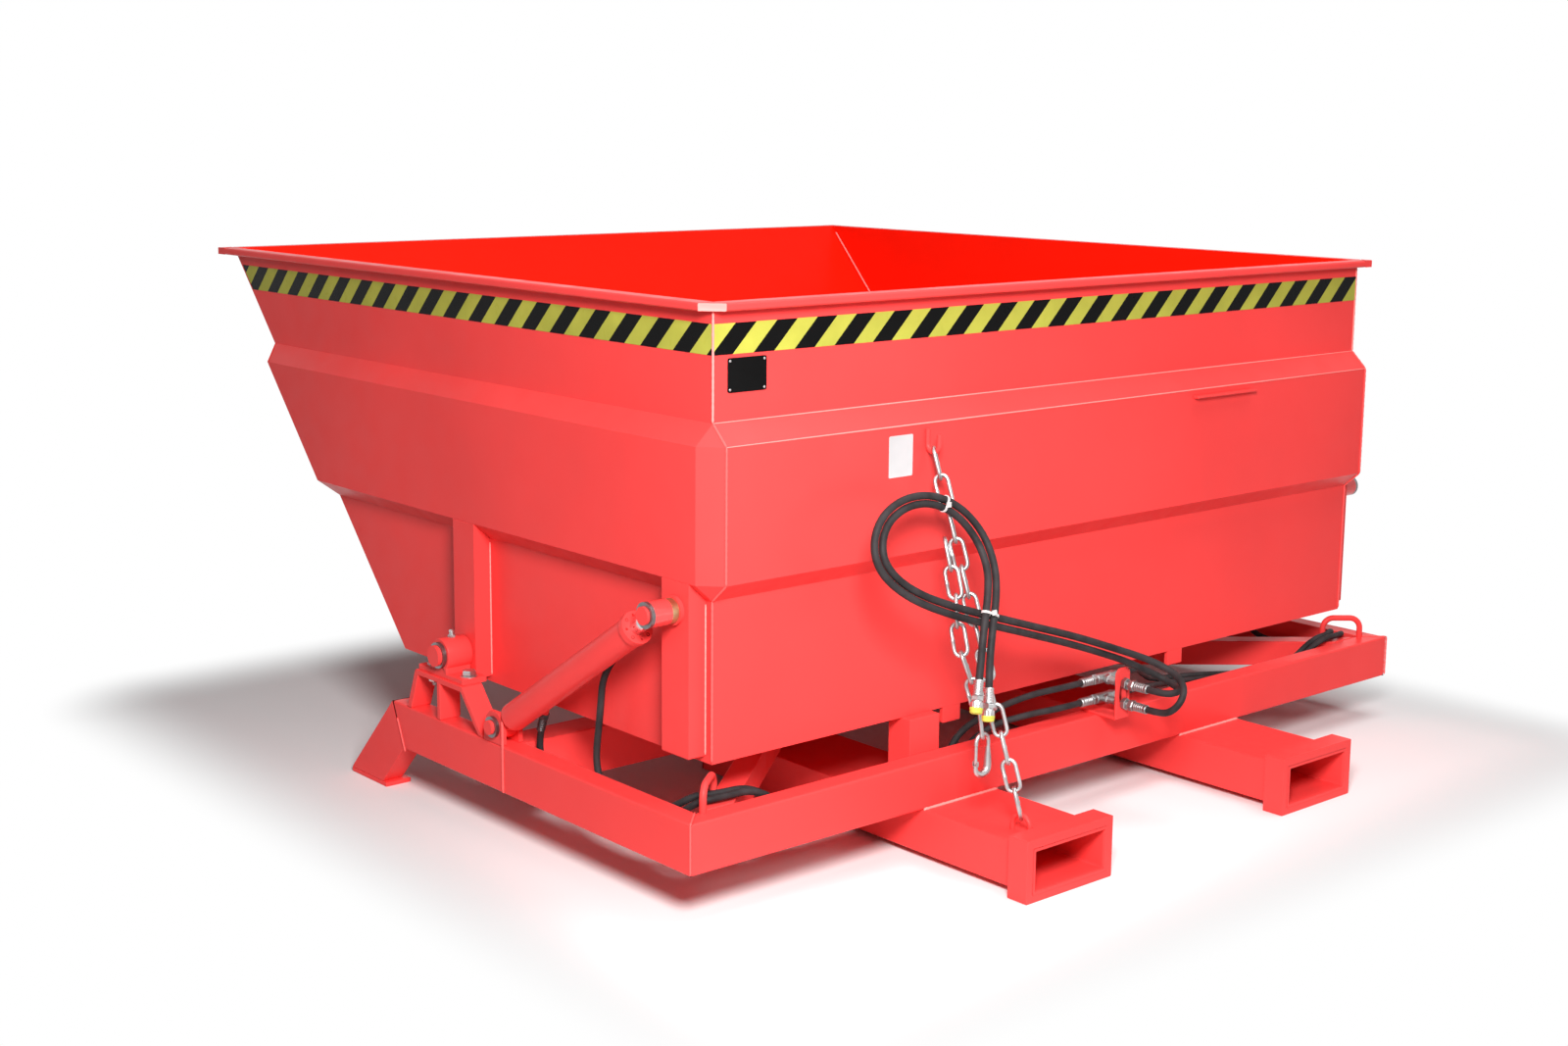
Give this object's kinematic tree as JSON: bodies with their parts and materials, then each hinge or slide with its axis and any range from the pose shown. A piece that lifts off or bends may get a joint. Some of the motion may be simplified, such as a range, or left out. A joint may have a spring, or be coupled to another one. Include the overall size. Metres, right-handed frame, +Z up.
{
  "type": "hydraulic tipping skip",
  "caption": "Sheet steel tipping skip on a fork pocket frame, swung over its front bearings by hydraulic cylinders, with quick couplings and a safety chain at the rear.",
  "frame": {"origin": "ground level under the middle of the overall box", "axes": "+X to the right seen from the rear, +Y to the tipping side, +Z up"},
  "size_m": [2.247, 2.289, 1.147],
  "materials": {
    "red_paint": "satin sprayed enamel",
    "bright_steel": "turned",
    "zinc_plate": "bright zinc",
    "brass": "dull",
    "black_rubber": "matt braided hose cover",
    "black_nylon": "matt",
    "yellow_plastic": "matt"
  },
  "bodies": {
    "frame": {"bearing_left": "red_paint", "bearing_right": "red_paint", "braces": "red_paint", "bulkhead": "red_paint", "chain_eye": "red_paint", "chain_main": "zinc_plate", "chain_tail": "zinc_plate", "cross_member": "red_paint", "cylinder_lugs": "red_paint", "dust_caps": "yellow_plastic", "feet": "red_paint", "foot_plates": "red_paint", "fork_pocket_left": "red_paint", "fork_pocket_right": "red_paint", "hose_inner": "black_rubber", "hose_outer": "black_rubber", "hose_ties": "black_nylon", "lashing_eyes": "red_paint", "lines_left": "black_rubber", "lines_right": "black_rubber", "lower_pins": "red_paint", "lower_rings": "bright_steel", "pocket_collars": "red_paint", "quick_couplings": "zinc_plate", "rear_rail": "red_paint", "rest_post": "red_paint", "side_rail_left": "red_paint", "side_rail_right": "red_paint", "snap_hook": "zinc_plate", "trestles": "red_paint", "unions": "zinc_plate"},
    "hopper": {"hopper_floor": "red_paint", "hopper_wall_rear": "red_paint", "hopper_wall_front": "red_paint", "hopper_wall_left": "red_paint", "hopper_wall_right": "red_paint", "hopper_rim": "red_paint", "ribs_front": "red_paint", "ribs_rear": "red_paint", "pivot_pins": "red_paint", "pivot_rings": "bright_steel", "pin_bosses": "red_paint", "rest_tabs": "red_paint", "lug_strip": "red_paint", "chain_hook": "red_paint", "chain_top": "zinc_plate"},
    "barrel_left": {"barrel_left": "red_paint", "gland_left": "red_paint"},
    "barrel_right": {"barrel_right": "red_paint", "gland_right": "red_paint"},
    "rod_left": {"rod_left": "bright_steel", "upper_pin_left": "red_paint", "upper_ring_left": "bright_steel", "thrust_washer_left": "brass"},
    "rod_right": {"rod_right": "bright_steel", "upper_pin_right": "red_paint", "upper_ring_right": "bright_steel", "thrust_washer_right": "brass"},
    "gate": {"snap_gate": "zinc_plate"}
  },
  "joints": [
    {"name": "tip", "type": "hinge", "parent": "frame", "child": "hopper", "pos_m": [0, 0.0125, 0.349], "axis": [-1, 0, 0], "range_deg": [0, 90]},
    {"name": "barrel_swing_left", "type": "hinge", "parent": "frame", "child": "barrel_left", "pos_m": [-1.0835, -0.2005, 0.243], "axis": [-1, 0, 0], "range_deg": [0, 85.03]},
    {"name": "rod_slide_left", "type": "slide", "parent": "barrel_left", "child": "rod_left", "axis": [0, -0.8412, 0.5407], "range_m": [0, 0.3301]},
    {"name": "barrel_swing_right", "type": "hinge", "parent": "frame", "child": "barrel_right", "pos_m": [1.0835, -0.2005, 0.243], "axis": [-1, 0, 0], "range_deg": [0, 85.03]},
    {"name": "rod_slide_right", "type": "slide", "parent": "barrel_right", "child": "rod_right", "axis": [0, -0.8412, 0.5407], "range_m": [0, 0.3301]},
    {"name": "snap_gate_hinge", "type": "hinge", "parent": "frame", "child": "gate", "pos_m": [-0.51656, -0.99268, 0.24291], "axis": [0, 1, 0], "range_deg": [0, 20], "stiffness_Nm_per_rad": 0.05}
  ],
  "couplings": [
    {"joint": "barrel_swing_left", "follows": "tip", "ratio": 0.9442},
    {"joint": "rod_slide_left", "follows": "tip", "m_per_rad": 0.20997},
    {"joint": "barrel_swing_right", "follows": "tip", "ratio": 0.9442},
    {"joint": "rod_slide_right", "follows": "tip", "m_per_rad": 0.20997}
  ]
}
